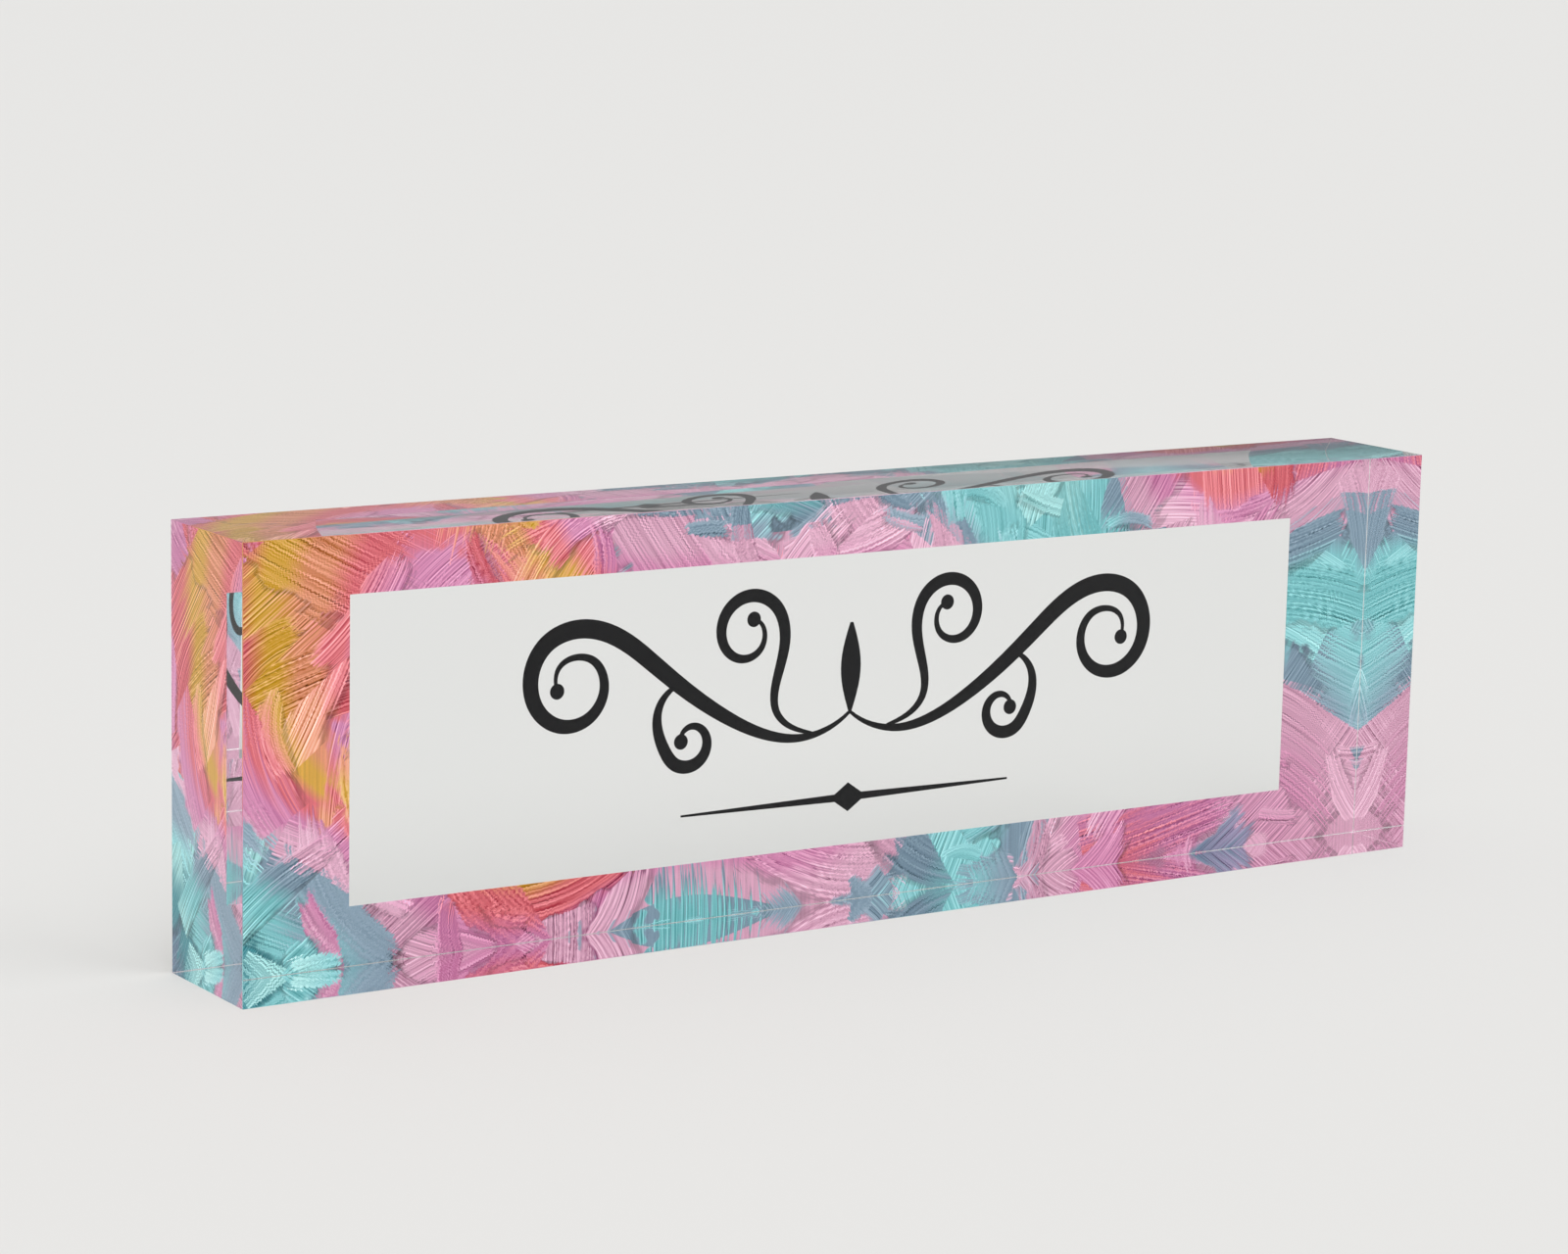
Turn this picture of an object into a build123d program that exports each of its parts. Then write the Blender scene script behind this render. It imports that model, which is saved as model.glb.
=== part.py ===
# Desk name plate: a polished block of clear acrylic, printed on its rear face and read through the block.
# Millimetres, +Z up, the reader on the -Y side with +X to the right. The origin is the middle of the base.

import os
from math import atan2, cos, hypot, pi, sin

from build123d import *

# Acrylic block
block_width = 205.7
block_height = 63.5
block_depth = 21.9
edge_bevel = 0.1  # polished off every edge

# Printed border, from the block's four sides to the clear window
border_left = 23.0
border_right = 16.0
border_top = 10.8
border_bottom = 8.6

# Ink on the rear face: the colours first, then white over them
colour_ink = 0.1
white_ink = 0.1
white_choke = 0.15  # the white stops this far inside the colour, so that none of it shows from the front

# Scroll ornament in the window, where a name goes
flourish_side_gap = 27.35  # to the window's edges at both sides
flourish_top_gap = 3.55  # to the window's top edge
hairline = 0.5  # thinnest pen line
scroll_swell = 2.3  # added width at the fullest part of a long scroll
tendril_swell = 1.5
bud_swell = 3.0
ball_radius = 1.15  # round end of a scroll
volute_closing = 0.34  # radius at a curl's end, as a share of the radius where it begins

# Swelled rule under the ornament, where a title goes
rule_side_gap = 54.05  # to the window's edges at both sides
rule_top_gap = 4.1  # from the diamond to the ornament
rule_foot_gap = 5.05  # from the diamond to the window's lower edge
rule_thickness = 1.2  # at the middle
rule_tip = 0.3  # at each end
diamond_width = 6.4
diamond_height = 4.4

pen_stations = 20  # places along a pen stroke where its width is set
volute_steps = 9  # points on one curl

print_width = block_width - 2 * edge_bevel
print_height = block_height - 2 * edge_bevel
window_width = block_width - border_left - border_right
window_height = block_height - border_top - border_bottom
window_x = (border_left - border_right) / 2
window_top = block_height - border_top

rule_width = window_width - 2 * rule_side_gap
rule_z = border_bottom + rule_foot_gap + diamond_height / 2
flourish_width = window_width - 2 * flourish_side_gap
flourish_top = window_top - flourish_top_gap
flourish_height = flourish_top - rule_top_gap - diamond_height / 2 - rule_z
flourish_z = flourish_top - flourish_height / 2

# Sketches on the rear face are drawn as the reader sees them, so ink is extruded away from the reader.
rear_face = Plane.XZ.offset(-block_depth / 2)
colour_back = rear_face.offset(-colour_ink)


def rear_plane(x, z):
    """The rear face's plane with its origin at a place on that face."""
    return Plane(rear_face.from_local_coords((x, z, 0)), x_dir=rear_face.x_dir, z_dir=rear_face.z_dir)


def border_outline(choke):
    """A border round the window, drawn back from both of its outlines by choke."""
    with Locations((0, block_height / 2)):
        Rectangle(print_width - 2 * choke, print_height - 2 * choke)
    with Locations((window_x, window_top - window_height / 2)):
        Rectangle(window_width + 2 * choke, window_height + 2 * choke, mode=Mode.SUBTRACT)


def in_flourish(places):
    """Places in the ornament's box as points in millimetres from its middle."""
    return [Vector(u * flourish_width / 2, v * flourish_height / 2) for u, v in places]


def volute(start, eye, turns):
    """Points of a curl from start round eye, closing in steadily."""
    reach = hypot(start.X - eye.X, start.Y - eye.Y)
    first = atan2(start.Y - eye.Y, start.X - eye.X)
    points = []
    for step in range(1, volute_steps + 1):
        share = step / volute_steps
        radius = reach * (1 - share * (1 - volute_closing))
        angle = first + 2 * pi * turns * share
        points.append(eye + Vector(radius * cos(angle), radius * sin(angle)))
    return points


def pen_edges(points, swell):
    """Both edges of a pointed-pen stroke along a smooth line: a hairline at its ends, fullest halfway."""
    line = Spline(*points, mode=Mode.PRIVATE)
    left, right = [], []
    for station in range(pen_stations + 1):
        share = station / pen_stations
        half = (hairline + swell * sin(pi * share)) / 2
        across = (line % share).rotate(Axis.Z, 90) * half
        left.append(line @ share + across)
        right.append(line @ share - across)
    return left, right


def flourish_strokes():
    """Half of the ornament, to be mirrored: each pen stroke's line and swell. Places run from -1 to 1 across
    the ornament's box. A scroll is a stem whose end curls round an eye, clockwise for negative turns."""
    bud = [(0.0, -0.5), (0.0, 0.0), (0.0, 0.5)]  # stands on the join of the two halves
    long_stem = [(0.0, -0.5), (0.17, -0.74), (0.39, -0.42), (0.6, 0.2), (0.8, 0.68)]
    upper_stem = [(0.12, -0.7), (0.24, -0.2), (0.21, 0.42)]
    lower_stem = [(0.53, 0.0), (0.6, -0.37), (0.575, -0.73)]
    strokes = [(in_flourish(bud), bud_swell)]
    for stem, eye, turns, swell in [
        (long_stem, (0.85, 0.1), -1.35, scroll_swell),
        (upper_stem, (0.325, 0.48), -1.2, tendril_swell),
        (lower_stem, (0.5, -0.65), -0.95, tendril_swell),
    ]:
        line = in_flourish(stem)
        strokes.append((line + volute(line[-1], in_flourish([eye])[0], turns), swell))
    return strokes


with BuildPart() as block:
    with BuildSketch(Plane.XY):
        Rectangle(block_width, block_depth)
    extrude(amount=block_height)
    chamfer(block.edges(), edge_bevel)

with BuildPart() as border:
    with BuildSketch(rear_face):
        border_outline(0)
    extrude(amount=-colour_ink)

with BuildPart() as backing:
    with BuildSketch(colour_back):
        border_outline(white_choke)
    extrude(amount=-white_ink)

with BuildPart() as flourish:
    with BuildSketch(rear_plane(window_x, flourish_z)):
        strokes = flourish_strokes()
        for line, swell in strokes:
            left, right = pen_edges(line, swell)
            with BuildLine():
                Spline(*left)
                Line(left[-1], right[-1])
                Spline(*reversed(right))
                Line(right[0], left[0])
            make_face()
        for line, _ in strokes[1:]:  # every stroke but the bud ends in a ball
            with Locations(line[-1]):
                Circle(ball_radius)
        mirror(about=Plane.YZ)
    extrude(amount=-colour_ink)

with BuildPart() as rule:
    with BuildSketch(rear_plane(window_x, rule_z)):
        with BuildLine():
            end = (rule_width / 2, rule_tip / 2)
            Polyline((0, rule_thickness / 2), end, (end[0], -end[1]), (0, -rule_thickness / 2), close=True)
        make_face()
        with BuildLine():
            Polyline((0, diamond_height / 2), (diamond_width / 2, 0), (0, -diamond_height / 2), close=True)
        make_face()
        mirror(about=Plane.YZ)
    extrude(amount=-colour_ink)

pieces = {
    "acrylic_block": block,
    "border_print": border,
    "white_backing": backing,
    "name_flourish": flourish,
    "title_rule": rule,
}
os.makedirs("parts", exist_ok=True)
for name, piece in pieces.items():
    piece.part.label = name
    export_step(piece.part, f"parts/{name}.step")
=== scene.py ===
from math import pi, radians

import bpy
import numpy as np
from mathutils import Matrix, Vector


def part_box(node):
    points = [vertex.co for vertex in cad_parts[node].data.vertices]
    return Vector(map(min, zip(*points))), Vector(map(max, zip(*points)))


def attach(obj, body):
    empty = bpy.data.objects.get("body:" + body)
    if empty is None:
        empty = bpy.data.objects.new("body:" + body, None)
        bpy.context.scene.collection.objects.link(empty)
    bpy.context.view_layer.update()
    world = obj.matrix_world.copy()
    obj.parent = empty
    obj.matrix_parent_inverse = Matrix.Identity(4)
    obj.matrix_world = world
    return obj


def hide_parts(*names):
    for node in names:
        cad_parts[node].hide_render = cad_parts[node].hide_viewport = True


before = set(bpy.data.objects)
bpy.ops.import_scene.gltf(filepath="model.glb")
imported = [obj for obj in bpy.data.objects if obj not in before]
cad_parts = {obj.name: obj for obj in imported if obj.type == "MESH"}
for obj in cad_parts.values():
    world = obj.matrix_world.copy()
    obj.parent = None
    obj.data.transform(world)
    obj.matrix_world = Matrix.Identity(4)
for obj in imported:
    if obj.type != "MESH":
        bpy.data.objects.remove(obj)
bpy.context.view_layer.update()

# The name plate stands on z = 0 with its reader on the -Y side. The print lies on the block's rear face.
mm = 0.001
print("frame loaded:", ", ".join(sorted(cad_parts)))


# A wire is a node's output. Sums of wires and numbers add the Math nodes that work them out.

class Wire:
    def __init__(self, socket):
        self.socket = socket
        self.tree = socket.id_data

    def __add__(self, other):
        return calc("ADD", self, other)

    def __sub__(self, other):
        return calc("SUBTRACT", self, other)

    def __mul__(self, other):
        return calc("MULTIPLY", self, other)

    def __truediv__(self, other):
        return calc("DIVIDE", self, other)

    def __neg__(self):
        return calc("MULTIPLY", self, -1.0)


def treeOf(values):
    return next(value.tree for value in values if isinstance(value, Wire))


def plugIn(socket, value):
    if isinstance(value, Wire):
        socket.id_data.links.new(value.socket, socket)
    else:
        socket.default_value = value


def addNode(tree, kind, inputs, **settings):
    node = tree.nodes.new("ShaderNode" + kind)
    for name, value in settings.items():
        setattr(node, name, value)
    for key, value in inputs.items():
        plugIn(node.inputs[key], value)
    return [Wire(socket) for socket in node.outputs]


def coordinates(tree, kind):
    return Wire(tree.nodes.new("ShaderNodeTexCoord").outputs[kind])


def calc(operation, *values):
    return addNode(treeOf(values), "Math", dict(enumerate(values)), operation=operation)[0]


def vectorCalc(operation, *values):
    return addNode(treeOf(values), "VectorMath", dict(enumerate(values)), operation=operation)[0]


def stretched(vector, factor):
    return addNode(vector.tree, "VectorMath", {0: vector, "Scale": factor}, operation="SCALE")[0]


def splitUp(vector):
    return addNode(vector.tree, "SeparateXYZ", {0: vector})


def joinUp(x, y, z=0.0):
    return addNode(treeOf((x, y, z)), "CombineXYZ", {0: x, 1: y, 2: z})[0]


def turnedBy(vector, angle):  # round Z
    feed = {"Vector": vector, "Angle": angle}
    return addNode(vector.tree, "VectorRotate", feed, rotation_type="Z_AXIS")[0]


def easeStep(value, low, high):  # 0 at low, 1 at high, smooth between
    feed = {"Value": value, "From Min": low, "From Max": high}
    return addNode(value.tree, "MapRange", feed, interpolation_type="SMOOTHSTEP", clamp=False)[0]


def spread(value, ends):  # 0 to 1 becomes the first end to the second
    return value * (ends[1] - ends[0]) + ends[0]


def centred(value):  # 0 to 1 becomes -0.5 to 0.5
    return value - 0.5


def noiseAt(vector, scale=1.0, detail=2.0, roughness=0.5):
    feed = {"Vector": vector, "Scale": scale, "Detail": detail, "Roughness": roughness}
    return addNode(vector.tree, "TexNoise", feed)[0]


def diceAt(vector):  # three random numbers for one cell
    colour = addNode(vector.tree, "TexWhiteNoise", {"Vector": vector}, noise_dimensions="3D")[1]
    return addNode(vector.tree, "SeparateColor", {0: colour})


def mixColours(factor, first, second, blend="MIX"):
    feed = {0: factor, 6: first, 7: second}  # the Mix node's sockets for colours
    return addNode(treeOf(feed.values()), "Mix", feed, data_type="RGBA", blend_type=blend)[2]


def brighten(colour, value, saturation=1.0):
    feed = {"Color": colour, "Value": value, "Saturation": saturation}
    return addNode(colour.tree, "HueSaturation", feed)[0]


def colourRamp(factor, stops):  # stops are (place, colour)
    node = factor.tree.nodes.new("ShaderNodeValToRGB")
    plugIn(node.inputs[0], factor)
    elements = node.color_ramp.elements
    elements.remove(elements[1])
    elements[0].position = stops[0][0]
    elements[0].color = (*stops[0][1], 1.0)
    for place, colour in stops[1:]:
        elements.new(place).color = (*colour, 1.0)
    return Wire(node.outputs[0])


def newGroup(name, inputs, outputs):  # inputs are (label, kind, default), outputs (label, kind)
    tree = bpy.data.node_groups.new(name, "ShaderNodeTree")
    for label, kind, value in inputs:
        socket = tree.interface.new_socket(label, in_out="INPUT", socket_type="NodeSocket" + kind)
        socket.default_value = value
    for label, kind in outputs:
        tree.interface.new_socket(label, in_out="OUTPUT", socket_type="NodeSocket" + kind)
    given = {socket.name: Wire(socket) for socket in tree.nodes.new("NodeGroupInput").outputs}
    return tree, given, tree.nodes.new("NodeGroupOutput").inputs


def useGroup(group, inputs):
    node = treeOf(inputs.values()).nodes.new("ShaderNodeGroup")
    node.node_tree = group
    for key, value in inputs.items():
        plugIn(node.inputs[key], value)
    return {socket.name: Wire(socket) for socket in node.outputs}


def newMaterial(name):  # hands back the material, its shader's sockets and the place on the plate in mm
    material = bpy.data.materials.new(name)
    material.use_nodes = True
    tree = material.node_tree
    millimetres = stretched(coordinates(tree, "Object"), 1 / mm)
    return material, tree.nodes["Principled BSDF"].inputs, millimetres


def dress(node, material):
    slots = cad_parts[node].data.materials
    slots.clear()
    slots.append(material)


# Ink film, on every ink: fine droplets make the tone grainy, and each pass of the print head leaves a
# faint band along the plate. Tone is about 1, Droplets runs from 0 to 1.

inkFilm = {
    "droplet": 0.28,  # mm
    "passHeight": 4.2,  # mm
    "passLength": 400.0,  # mm over which a band changes
    "gloss": 0.1,  # ink that touches the acrylic has next to no gloss of its own there
}


def makeInkFilm():
    tree, given, result = newGroup(
        "inkFilm",
        [("Place", "Vector", (0, 0, 0)), ("Grain", "Float", 0.2), ("Banding", "Float", 0.1)],
        [("Tone", "Float"), ("Droplets", "Float")],
    )
    x, _, z = splitUp(given["Place"])
    droplets = noiseAt(given["Place"], 1 / inkFilm["droplet"], roughness=0.6)
    passes = noiseAt(joinUp(x / inkFilm["passLength"], 0.0, z / inkFilm["passHeight"]), detail=1.0)
    plugIn(result["Tone"], centred(droplets) * given["Grain"] + centred(passes) * given["Banding"] + 1.0)
    plugIn(result["Droplets"], droplets)
    return tree


film = makeInkFilm()


# Painted border: broad brush dabs in the colours of a ring, laid in coats over each other.

paintColours = {
    "turquoise": (0.25, 0.65, 0.68),
    "aqua": (0.40, 0.78, 0.78),
    "teal": (0.07, 0.32, 0.37),
    "slate": (0.12, 0.21, 0.31),
    "dustyBlue": (0.25, 0.36, 0.46),
    "lilac": (0.50, 0.38, 0.60),
    "pink": (0.74, 0.27, 0.49),
    "blush": (0.80, 0.43, 0.59),
    "magenta": (0.56, 0.09, 0.29),
    "coral": (0.84, 0.19, 0.225),
    "salmon": (0.88, 0.35, 0.20),
    "gold": (0.80, 0.44, 0.08),
}
paintOrder = (  # round the ring, so that neighbours blend cleanly; a colour ramp has room for 16
    "dustyBlue", "turquoise", "aqua", "teal", "slate", "lilac", "pink", "blush",
    "magenta", "pink", "coral", "salmon", "gold", "coral", "pink", "blush",
)
paintZones = {
    "size": 95.0,  # mm, how far one colour carries
    "start": (8752.0, 4982.0, 0.0),  # mm, which part of the endless pattern the plate shows
    "turns": 1.9,  # turns of the ring over the whole range
    "hold": (0.25, 0.75),  # of its share of the ring, where a colour begins and ceases to be pure
}
paintCoats = (  # turn in degrees, dab length and width in mm, share of places with a dab
    (62, 64, 30, 1.0),
    (-30, 52, 22, 0.8),
    (76, 42, 17, 0.65),
    (12, 34, 13, 0.5),
    (-58, 27, 10, 0.4),
    (38, 20, 7, 0.24),
    (104, 14, 4.6, 0.13),
    (-12, 9, 3.0, 0.07),
)
dab = {
    "strayAlong": 0.3,  # of its length, how far a dab strays from the middle of its cell
    "strayAcross": 0.4,  # of its width
    "lean": 0.9,  # radians, spread of headings
    "bow": 1.6,  # spread of bends
    "reach": (0.36, 0.52),  # of its length, from its middle to an end
    "sideReach": 0.46,  # of its width, from its middle to a side
    "fray": 0.55,  # of its length, how raggedly its ends run out
    "wobble": 0.5,  # of its width, how far its sides wander
    "wobbleSize": 4.5,  # mm
    "rag": 1.2,  # mm, how far single bristles stand out of its sides
    "softEdge": 0.25,  # mm, edge of a loaded brush
    "dryEdge": 0.11,  # of its width, how much softer the edge of a dry brush is
    "bristle": 0.36,  # mm between bristle lines
    "brushes": (0.7, 1.5),  # how dense the lines of the coarsest and the finest brush are
    "streak": 20.0,  # mm over which a bristle line changes
    "slopeStep": 0.2,  # mm over which a ridge's slope is taken
    "hair": 3.1,  # finer lines to one bristle line
    "hairTone": (0.72, 1.28),  # darkest and lightest of them
    "crease": 0.35,  # painted shade: how dark the furrows between bristles are
    "creaseEdge": (0.42, 0.3),  # height in a bristle line where the painted shade of a furrow begins and is full
    "relief": 1.7,  # strength of the painted bristle relief
    "leastRelief": 0.7,  # of it, where the bristles run along the light
    "paleness": 0.5,  # how much paler lit paint is
    "rim": 1.1,  # mm in from the outline, where the light and dark rims begin
    "rimFull": 0.15,  # mm in from the outline, where they are full
    "lip": 0.24,  # strength of the rims
    "shade": 0.45,  # strength of the shade beside a dab
    "shadeWidth": 0.9,  # mm
    "tones": (0.85, 1.2),  # darkest and lightest dab
    "follow": 0.72,  # how far a dab's colour changes along it with the colours round it
    "shiftSpread": 0.03,  # of the ring, between neighbouring dabs
    "streakShift": (-0.03, 0.03),  # of the ring, between a dab and the streaks in it
    "streakEdge": (0.46, 0.66),  # height in a bristle line where a streak begins and is full
    "streakTone": 1.12,
    "streakSaturation": 0.95,
    "accents": 0.03,  # share of dabs in a colour from across the ring
    "accentShift": 0.37,  # of the ring
    "skip": 0.6,  # mm, how far bristles skip sideways over the ridges below
    "laneGap": 83.0,  # keeps the bristle lines of different dabs apart
}
diceLayers = (  # three dice come from each layer of a cell
    (0.0, ("along", "across", "lean")),
    (19.0, ("bend", "brush", "drop")),
    (53.0, ("tone", "accent", "reach")),
)
painting = {
    "seed": 203.0,  # another seed lays other dabs
    "seedStep": 7.0,  # from coat to coat
    "groundTones": (0.6, 1.4),  # darkest and lightest streak of the ground below the coats
    "lightFrom": (0.55, 0.83),  # to the left and up: where the light on the painted relief comes from
    "roughness": (0.32, 0.44),
    "grain": 0.16,
    "banding": 0.04,
}


# Palette: a slow wandering field picks a place on a ring of colours, and shift moves it along the ring.
# Each colour holds over half of its share of the ring and then passes into the next.
def makePalette():
    tree, given, result = newGroup(
        "paintPalette", [("Place", "Vector", (0, 0, 0)), ("Shift", "Float", 0.0)], [("Colour", "Color")]
    )
    place = vectorCalc("ADD", given["Place"], paintZones["start"])
    field = noiseAt(place, 1 / paintZones["size"], detail=1.0)
    ring = calc("FRACT", field * paintZones["turns"] + given["Shift"])
    share = 1 / len(paintOrder)
    stops = []
    for number, name in enumerate(paintOrder):
        stops += [(share * (number + edge), paintColours[name]) for edge in paintZones["hold"]]
    plugIn(result["Colour"], colourRamp(ring, stops))
    return tree


# Nine dice for one dab, read in the middle of its cell.
def dabDice(cell):
    dice = {}
    for layer, names in diceLayers:
        dice.update(zip(names, diceAt(vectorCalc("ADD", cell, (0.5, 0.5, layer)))))
    return dice


# Bristle lines run along u. Ridge is their slope across the dab.
def dabBristles(u, v, dice):
    pitch = spread(dice["bend"], dab["brushes"]) / dab["bristle"]
    lane = dice["brush"] * dab["laneGap"]
    along = u / dab["streak"]

    def lines(place):
        return noiseAt(joinUp(along, place * pitch, lane), detail=3.0, roughness=0.6)

    bristle = lines(v)
    ridge = lines(v + dab["slopeStep"]) - bristle
    hair = noiseAt(joinUp(along, v * pitch * dab["hair"], lane), detail=1.0)
    return bristle, ridge, hair


# Gap to the dab's ends and sides in mm, positive inside, frayed by the bristles.
def dabGap(u, v, bristle, dice, length, width, softness):
    lane = dice["brush"] * dab["laneGap"]
    wander = centred(noiseAt(joinUp(u / dab["wobbleSize"], v / dab["wobbleSize"], lane)))
    endGap = length * spread(dice["reach"], dab["reach"]) - calc("ABSOLUTE", u)
    endGap = endGap + centred(bristle) * length * dab["fray"]
    sideGap = width * dab["sideReach"] - calc("ABSOLUTE", v)
    sideGap = sideGap + wander * width * dab["wobble"] + centred(bristle) * (softness + dab["rag"])
    return calc("MINIMUM", endGap, sideGap)


# Colour of the palette at a spot, streaked with a neighbour on the ring.
def dabColour(palette, spot, bristle, dice):
    accent = calc("LESS_THAN", dice["accent"], dab["accents"])
    shift = accent * dab["accentShift"] + centred(dice["tone"]) * dab["shiftSpread"]
    colour = useGroup(palette, {"Place": spot, "Shift": shift})["Colour"]
    beyond = shift + spread(dice["along"], dab["streakShift"])
    streak = useGroup(palette, {"Place": spot, "Shift": beyond})["Colour"]
    amount = easeStep(bristle, *dab["streakEdge"])
    return mixColours(amount, colour, brighten(streak, dab["streakTone"], dab["streakSaturation"]))


# One coat: the plane is cut into cells of length by width, turned, and each row is slid along by a die.
# A cell holds one dab, which its dice stray, lean and bow. In the dab, u runs along it and v across it,
# in mm.
def makeCoat(palette):
    tree, given, result = newGroup(
        "paintCoat",
        [
            ("Under", "Color", (1, 1, 1, 1)), ("Place", "Vector", (0, 0, 0)), ("Turn", "Float", 0.0),
            ("Length", "Float", 20.0), ("Width", "Float", 8.0), ("Cover", "Float", 0.7),
            ("Seed", "Float", 1.0),
        ],
        [("Colour", "Color"), ("Place", "Vector")],
    )
    length, width, turn, seed = (given[label] for label in ("Length", "Width", "Turn", "Seed"))
    flat = turnedBy(given["Place"], -turn)
    x, y, _ = splitUp(flat)
    row = calc("FLOOR", y / width)
    slide = addNode(tree, "TexWhiteNoise", {"W": row + seed}, noise_dimensions="1D")[0]
    column = calc("FLOOR", x / length + slide)
    dice = dabDice(joinUp(column, row, seed))
    middle = joinUp((column - slide + 0.5) * length, (row + 0.5) * width)

    strayX = centred(dice["along"]) * length * dab["strayAlong"]
    strayY = centred(dice["across"]) * width * dab["strayAcross"]
    lean = centred(dice["lean"]) * dab["lean"]
    away = vectorCalc("SUBTRACT", flat, middle)
    offset = vectorCalc("SUBTRACT", away, joinUp(strayX, strayY))
    u, v, _ = splitUp(turnedBy(offset, lean))
    v = v + centred(dice["bend"]) * dab["bow"] * u * u / length

    bristle, ridge, hair = dabBristles(u, v, dice)
    softness = dice["reach"] * width * dab["dryEdge"] + dab["softEdge"]
    gap = dabGap(u, v, bristle, dice, length, width, softness)
    laid = calc("LESS_THAN", dice["drop"], given["Cover"])
    alpha = easeStep(gap, 0.0, softness) * laid
    spot = turnedBy(vectorCalc("ADD", middle, stretched(away, dab["follow"])), turn)
    colour = dabColour(palette, spot, bristle, dice)

    # painted relief: ridges and rims are light on the side that faces the light, dark on the other, and
    # the furrows between bristles get painted shade
    heading = turn - lean
    leftward, upward = painting["lightFrom"]
    facing = calc("SINE", heading) * leftward + calc("COSINE", heading) * upward
    strength = calc("MAXIMUM", calc("ABSOLUTE", facing), dab["leastRelief"])
    facing = calc("SIGN", facing) * strength
    side = calc("SIGN", v)
    rim = easeStep(gap, dab["rim"], dab["rimFull"]) * side * dab["lip"]
    light = (rim - ridge * dab["relief"]) * facing + spread(dice["tone"], dab["tones"])
    light = light * spread(hair, dab["hairTone"]) - easeStep(bristle, *dab["creaseEdge"]) * dab["crease"]
    colour = brighten(colour, light, light * -dab["paleness"] + (1.0 + dab["paleness"]))

    # a thin shade on the coat below, outside the dab's far rim
    shade = easeStep(gap, -dab["shadeWidth"], 0.0) * laid
    shade = shade * calc("MINIMUM", side * facing * dab["shade"], 0.0)
    under = brighten(given["Under"], shade + 1.0)
    plugIn(result["Colour"], mixColours(alpha, under, colour))

    # the next coat's bristles skip sideways on these ridges
    skip = ridge * alpha * dab["skip"]
    plugIn(result["Place"], vectorCalc("ADD", given["Place"], joinUp(skip, skip)))
    return tree


def makePaintedInk():
    material, shader, millimetres = newMaterial("paintedInk")
    x, _, z = splitUp(millimetres)
    place = joinUp(x, z)
    palette = makePalette()
    coat = makeCoat(palette)
    brushed = noiseAt(joinUp(x / dab["bristle"], z / dab["streak"]), detail=3.0)
    colour = useGroup(palette, {"Place": place})["Colour"]
    colour = brighten(colour, spread(brushed, painting["groundTones"]))
    for number, (turn, length, width, cover) in enumerate(paintCoats):
        feed = {
            "Under": colour, "Place": place, "Turn": radians(turn), "Length": length, "Width": width,
            "Cover": cover, "Seed": painting["seed"] + painting["seedStep"] * number,
        }
        colour, place = useGroup(coat, feed).values()
    ink = useGroup(film, {
        "Place": millimetres, "Grain": painting["grain"], "Banding": painting["banding"],
    })
    plugIn(shader["Base Color"], brighten(colour, ink["Tone"]))
    plugIn(shader["Roughness"], spread(ink["Droplets"], painting["roughness"]))
    shader["Specular IOR Level"].default_value = inkFilm["gloss"]
    return material


dress("border_print", makePaintedInk())
print("border painted in", len(paintCoats), "coats")


# White ink behind the border, and the black ink in the window. Relief is the height of the droplets.

whiteInk = {
    "colour": (0.80, 0.80, 0.78, 1), "roughness": (0.4, 0.62), "gloss": 0.5,
    "grain": 0.22, "banding": 0.12, "relief": 0.012 * mm,
}
blackInk = {
    "colour": (0.008, 0.008, 0.009, 1), "roughness": (0.26, 0.46), "gloss": inkFilm["gloss"],
    "grain": 0.5, "banding": 0.3, "relief": 0.008 * mm,
}


def makePlainInk(name, look):
    material, shader, millimetres = newMaterial(name)
    ink = useGroup(film, {"Place": millimetres, "Grain": look["grain"], "Banding": look["banding"]})
    tone = joinUp(ink["Tone"], ink["Tone"], ink["Tone"])
    plugIn(shader["Base Color"], mixColours(1.0, look["colour"], tone, "MULTIPLY"))
    plugIn(shader["Roughness"], spread(ink["Droplets"], look["roughness"]))
    bump = {"Strength": 1.0, "Distance": look["relief"], "Height": ink["Droplets"]}
    plugIn(shader["Normal"], addNode(millimetres.tree, "Bump", bump)[0])
    shader["Specular IOR Level"].default_value = look["gloss"]
    return material


dress("white_backing", makePlainInk("whiteInk", whiteInk))
black = makePlainInk("blackInk", blackInk)
dress("name_flourish", black)
dress("title_rule", black)
print("white and black ink done")


# Acrylic block: a box with its edges rounded over. Its rear face stands just behind the ink's front, so
# that ink and acrylic touch with no air between and the print shows through every face.

acrylic = {
    "edge": 0.1 * mm,  # radius of the polished edges
    "edgeSteps": 4,  # points round one edge
    "inkBite": 0.02 * mm,  # how far the ink reaches into the rear face
    "ior": 1.49,
    "tint": (0.94, 0.95, 0.947, 1),
    "glare": (0.3, 0.3, 0.3, 1),  # share of the glare that a face seen straight on keeps
    "passing": (0.96, 0.965, 0.965, 1),  # share of the lamps' and soft light that gets through one face
    "smudge": 26.0,  # mm, size of the soft patches that hands leave
    "smudgeEdge": (0.52, 0.72),  # height in the noise where a patch begins and is full
    "wipe": 0.9,  # mm between the lines of a wiping cloth
    "wipeLength": 30.0,  # mm
    "haze": 0.03,  # roughness in the middle of a patch
}


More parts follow.
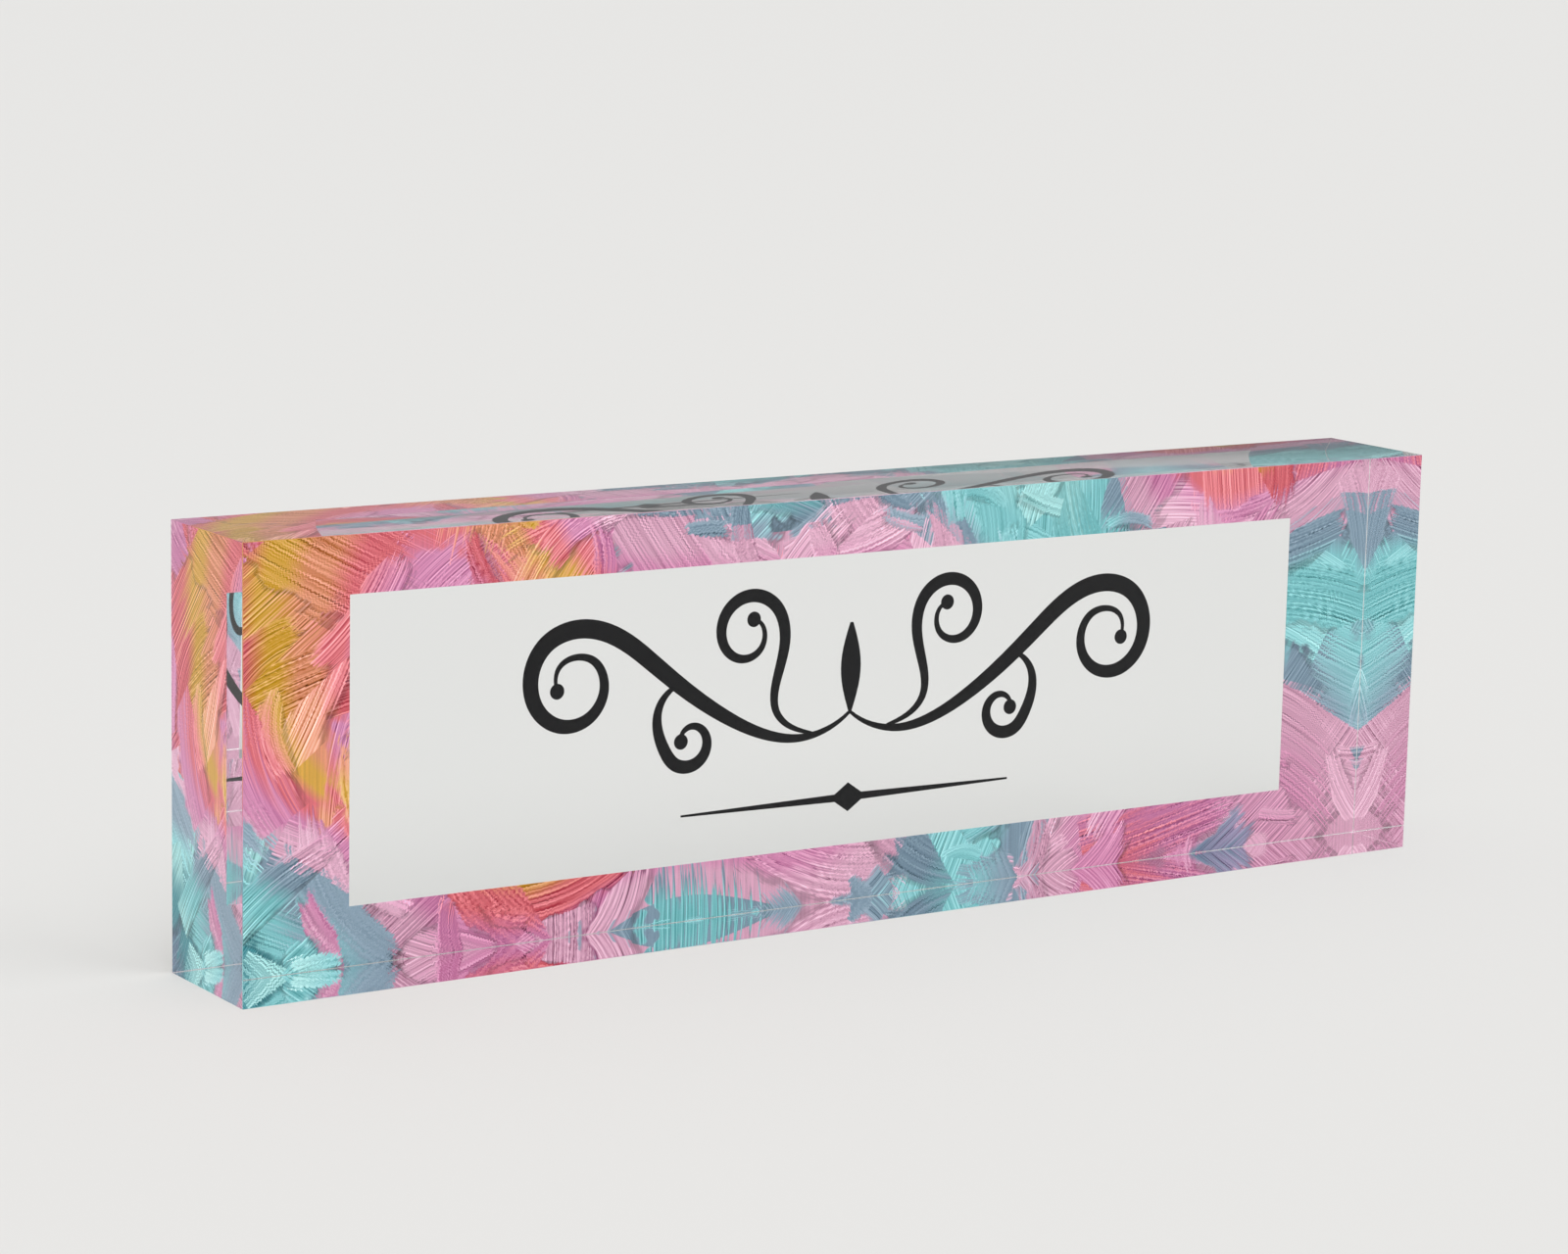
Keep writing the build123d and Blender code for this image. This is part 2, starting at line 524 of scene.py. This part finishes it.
# Rounded box: each point is a corner of the box drawn in by the edge radius, plus that radius along the
# direction (theta, phi). Theta runs round the four corners of the plan, phi from straight down to
# straight up.
def makeBlock():
    low, high = (np.array(corner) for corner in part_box("acrylic_block"))
    high[1] += acrylic["inkBite"]
    radius, steps = acrylic["edge"], acrylic["edgeSteps"]
    quarter = np.linspace(0, pi / 2, steps)
    theta = (quarter[None, :] + np.arange(4)[:, None] * pi / 2).ravel()
    phi = np.concatenate([quarter - pi / 2, quarter])
    top = np.repeat([0, 1], steps)
    right = np.repeat([1, 0, 0, 1], steps)
    rear = np.repeat([1, 1, 0, 0], steps)
    thetaGrid, phiGrid = np.meshgrid(theta, phi)
    level = np.cos(phiGrid)
    normals = np.stack([level * np.cos(thetaGrid), level * np.sin(thetaGrid), np.sin(phiGrid)], axis=-1)
    inner = np.array([low + radius, high - radius])
    corner = np.stack(
        np.broadcast_arrays(inner[right, 0], inner[rear, 1], inner[top, 2][:, None]), axis=-1
    )
    points = corner + radius * normals
    rows, columns = points.shape[:2]
    index = np.arange(rows * columns).reshape(rows, columns)
    around = np.roll(index, -1, axis=1)
    walls = np.stack([index[:-1], around[:-1], around[1:], index[1:]], axis=-1).reshape(-1, 4)
    caps = [index[0, ::-1].tolist(), index[-1].tolist()]
    mesh = bpy.data.meshes.new("acrylicBlock")
    mesh.from_pydata(points.reshape(-1, 3), [], walls.tolist() + caps)
    mesh.polygons.foreach_set("use_smooth", np.ones(len(mesh.polygons), bool))
    mesh.normals_split_custom_set_from_vertices(normals.reshape(-1, 3))
    block = bpy.data.objects.new("acrylicBlock", mesh)
    bpy.context.collection.objects.link(block)
    return block


# Clear acrylic: bent light for the eye and for reflections, plain see-through for lamps and for soft
# light, so that the print inside is lit evenly. Hands and wiping leave a trace of haze here and there.
def makeAcrylic():
    material, shader, millimetres = newMaterial("clearAcrylic")
    tree = millimetres.tree
    x, y, z = splitUp(millimetres)
    patch = easeStep(noiseAt(millimetres, 1 / acrylic["smudge"], detail=3.0), *acrylic["smudgeEdge"])
    strokes = joinUp(x / acrylic["wipeLength"], y / acrylic["wipe"], z / acrylic["wipe"])
    wiped = noiseAt(strokes, detail=3.0)
    plugIn(shader["Roughness"], patch * wiped * acrylic["haze"])
    shader["Base Color"].default_value = acrylic["tint"]
    shader["Transmission Weight"].default_value = 1.0
    shader["IOR"].default_value = acrylic["ior"]
    shader["Specular Tint"].default_value = acrylic["glare"]
    rays = tree.nodes.new("ShaderNodeLightPath").outputs
    clear = addNode(tree, "BsdfTransparent", {"Color": acrylic["passing"]})[0]
    surface = Wire(tree.nodes["Principled BSDF"].outputs[0])
    for kind in ("Is Diffuse Ray", "Is Shadow Ray"):
        surface = addNode(tree, "MixShader", {0: Wire(rays[kind]), 1: surface, 2: clear})[0]
    plugIn(tree.nodes["Material Output"].inputs["Surface"], surface)
    return material


block = makeBlock()
block.data.materials.append(makeAcrylic())
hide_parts("acrylic_block")
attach(block, "root")
print("acrylic block:", len(block.data.polygons), "faces")


# Studio: pale floor, soft light from above, camera at the photograph's angle.

studio = {
    "floorSize": 12.0,  # m
    "floorColour": (0.72, 0.715, 0.70, 1),
    "floorRoughness": 0.9,
    "floorGap": 0.05 * mm,  # thin air under the block, so that its base mirrors the print
    "skyLow": (0.15, 0.15, 0.155),
    "skyHigh": (1.0, 1.0, 1.0),
    "skyFull": 0.9,  # share of the way up where the sky is at its brightest
    "card": (0.58, 0.58, 0.585, 1),  # pale cards beyond both ends of the plate
    "cardEdge": (0.75, 0.97),  # share of the way towards X where a card begins and is full
    "mirrorings": 12,  # how often light may turn to and fro inside the block
}
lamps = (  # azimuth and height in degrees, softness in degrees, strength
    (-40, 52, 50, 0.97),
    (50, 40, 50, 0.5),
)
camera = {
    "place": (-0.347266, -0.509199, 0.152215),  # m
    "yaw": -33.5227,  # degrees, as the next two
    "pitch": -10.1339,
    "roll": -1.3112,
    "focalPixels": 4327.36,  # in the photograph's width
    "imageWidth": 1600,
    "sensor": 36.0,  # mm
    "nearest": 0.01,  # m, nothing nearer is drawn
}


def makeFloor():
    half = studio["floorSize"] / 2
    depth = -studio["floorGap"]
    corners = [(-half, -half, depth), (half, -half, depth), (half, half, depth), (-half, half, depth)]
    mesh = bpy.data.meshes.new("floor")
    mesh.from_pydata(corners, [], [(0, 1, 2, 3)])
    floor = bpy.data.objects.new("floor", mesh)
    bpy.context.collection.objects.link(floor)
    material, shader, _ = newMaterial("paleFloor")
    shader["Base Color"].default_value = studio["floorColour"]
    shader["Roughness"].default_value = studio["floorRoughness"]
    mesh.materials.append(material)


def makeLight():
    world = bpy.data.worlds.new("studio")
    bpy.context.scene.world = world
    world.use_nodes = True
    tree = world.node_tree
    x, _, z = splitUp(coordinates(tree, "Generated"))
    sky = colourRamp(z, [(0.0, studio["skyLow"]), (studio["skyFull"], studio["skyHigh"])])
    sky = mixColours(easeStep(calc("ABSOLUTE", x), *studio["cardEdge"]), sky, studio["card"])
    plugIn(tree.nodes["Background"].inputs["Color"], sky)
    for number, (azimuth, height, softness, strength) in enumerate(lamps):
        lamp = bpy.data.lights.new(f"softLight{number}", "SUN")
        lamp.angle = radians(softness)
        lamp.energy = strength
        holder = bpy.data.objects.new(f"softLight{number}", lamp)
        holder.rotation_euler = (radians(90 - height), 0, radians(azimuth))
        bpy.context.collection.objects.link(holder)


# A camera looks straight down until it is turned up by 90 degrees.
def makeCamera():
    data = bpy.data.cameras.new("camera")
    data.sensor_width = camera["sensor"]
    data.lens = camera["focalPixels"] / camera["imageWidth"] * camera["sensor"]
    data.clip_start = camera["nearest"]
    holder = bpy.data.objects.new("camera", data)
    turn = Matrix.Translation(camera["place"])
    for angle, axis in ((camera["yaw"], "Z"), (camera["pitch"], "X"), (camera["roll"], "Y"), (90, "X")):
        turn = turn @ Matrix.Rotation(radians(angle), 4, axis)
    holder.matrix_world = turn
    bpy.context.collection.objects.link(holder)
    bpy.context.scene.camera = holder


makeFloor()
makeLight()
makeCamera()
bpy.context.scene.view_settings.view_transform = "Standard"
bpy.context.scene.cycles.glossy_bounces = studio["mirrorings"]
print("studio set")
